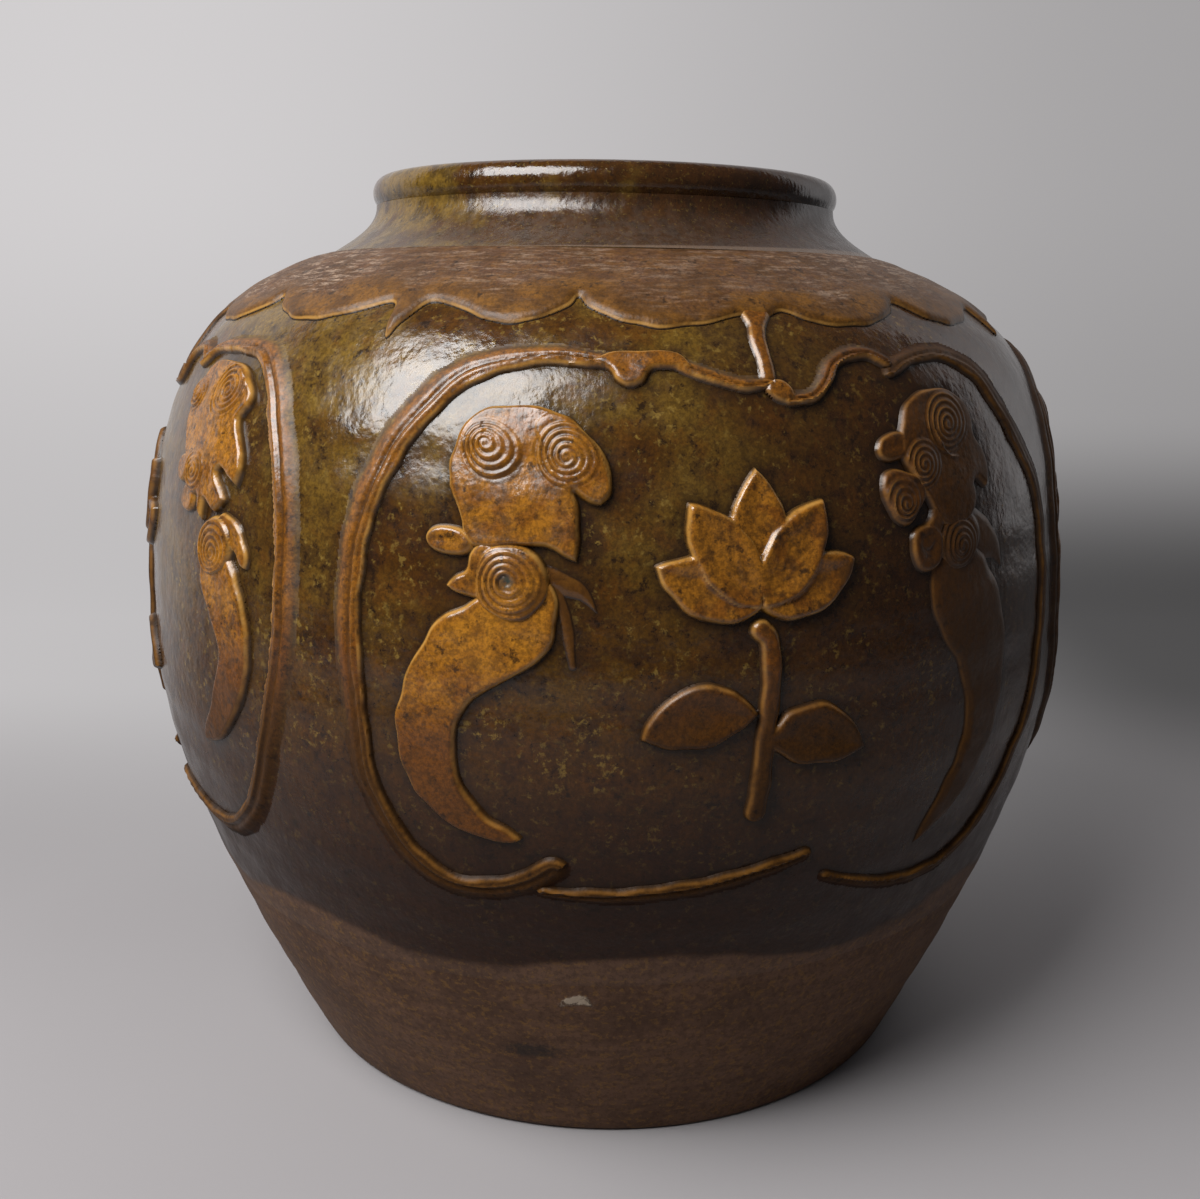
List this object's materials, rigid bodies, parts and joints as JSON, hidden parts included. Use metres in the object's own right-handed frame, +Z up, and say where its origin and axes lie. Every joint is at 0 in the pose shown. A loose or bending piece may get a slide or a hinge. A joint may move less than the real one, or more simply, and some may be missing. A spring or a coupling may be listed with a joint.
{
  "type": "jar",
  "caption": "Wide-bodied glazed stoneware storage jar with a short neck and rolled lip, carrying framed panels of applied clay relief.",
  "frame": {"origin": "centre of the flat base, on the surface that the jar stands on", "axes": "+Z up along the jar's axis, -Y towards the viewer, +X to the viewer's right"},
  "size_m": [0.3616, 0.3616, 0.33],
  "materials": {
    "unglazed_stoneware": "dull, dark brown, with throwing lines",
    "brown_glaze": "glossy, mottled brown and olive",
    "olive_glaze": "glossy, dark olive brown",
    "tan_glaze": "thin and drier, reddish tan with fine streaks",
    "amber_glaze": "glossy amber, ochre on the edges"
  },
  "bodies": {
    "root": {"base_section": "unglazed_stoneware", "lower_body": "brown_glaze", "upper_body": "brown_glaze", "neck": "olive_glaze", "rolled_lip": "olive_glaze", "shoulder_collar": "tan_glaze", "front_frame_crest_left": "amber_glaze", "front_frame_crest_right": "amber_glaze", "front_frame_left_arc": "amber_glaze", "front_frame_right_arc": "amber_glaze", "front_frame_bottom": "amber_glaze", "front_left_dragon_head": "amber_glaze", "front_left_dragon_mane": "amber_glaze", "front_left_dragon_tail": "amber_glaze", "front_right_dragon_head": "amber_glaze", "front_right_dragon_mane": "amber_glaze", "front_right_dragon_tail": "amber_glaze", "front_lotus_bloom": "amber_glaze", "front_lotus_leaves": "amber_glaze", "right_frame_crest_left": "amber_glaze", "right_frame_crest_right": "amber_glaze", "right_frame_left_arc": "amber_glaze", "right_frame_right_arc": "amber_glaze", "right_frame_bottom": "amber_glaze", "right_left_dragon_head": "amber_glaze", "right_left_dragon_mane": "amber_glaze", "right_left_dragon_tail": "amber_glaze", "right_right_dragon_head": "amber_glaze", "right_right_dragon_mane": "amber_glaze", "right_right_dragon_tail": "amber_glaze", "right_lotus_bloom": "amber_glaze", "right_lotus_leaves": "amber_glaze", "back_frame_crest_left": "amber_glaze", "back_frame_crest_right": "amber_glaze", "back_frame_left_arc": "amber_glaze", "back_frame_right_arc": "amber_glaze", "back_frame_bottom": "amber_glaze", "back_left_dragon_head": "amber_glaze", "back_left_dragon_mane": "amber_glaze", "back_left_dragon_tail": "amber_glaze", "back_right_dragon_head": "amber_glaze", "back_right_dragon_mane": "amber_glaze", "back_right_dragon_tail": "amber_glaze", "back_lotus_bloom": "amber_glaze", "back_lotus_leaves": "amber_glaze", "left_frame_crest_left": "amber_glaze", "left_frame_crest_right": "amber_glaze", "left_frame_left_arc": "amber_glaze", "left_frame_right_arc": "amber_glaze", "left_frame_bottom": "amber_glaze", "left_left_dragon_head": "amber_glaze", "left_left_dragon_mane": "amber_glaze", "left_left_dragon_tail": "amber_glaze", "left_right_dragon_head": "amber_glaze", "left_right_dragon_mane": "amber_glaze", "left_right_dragon_tail": "amber_glaze", "left_lotus_bloom": "amber_glaze", "left_lotus_leaves": "amber_glaze"}
  },
  "joints": []
}
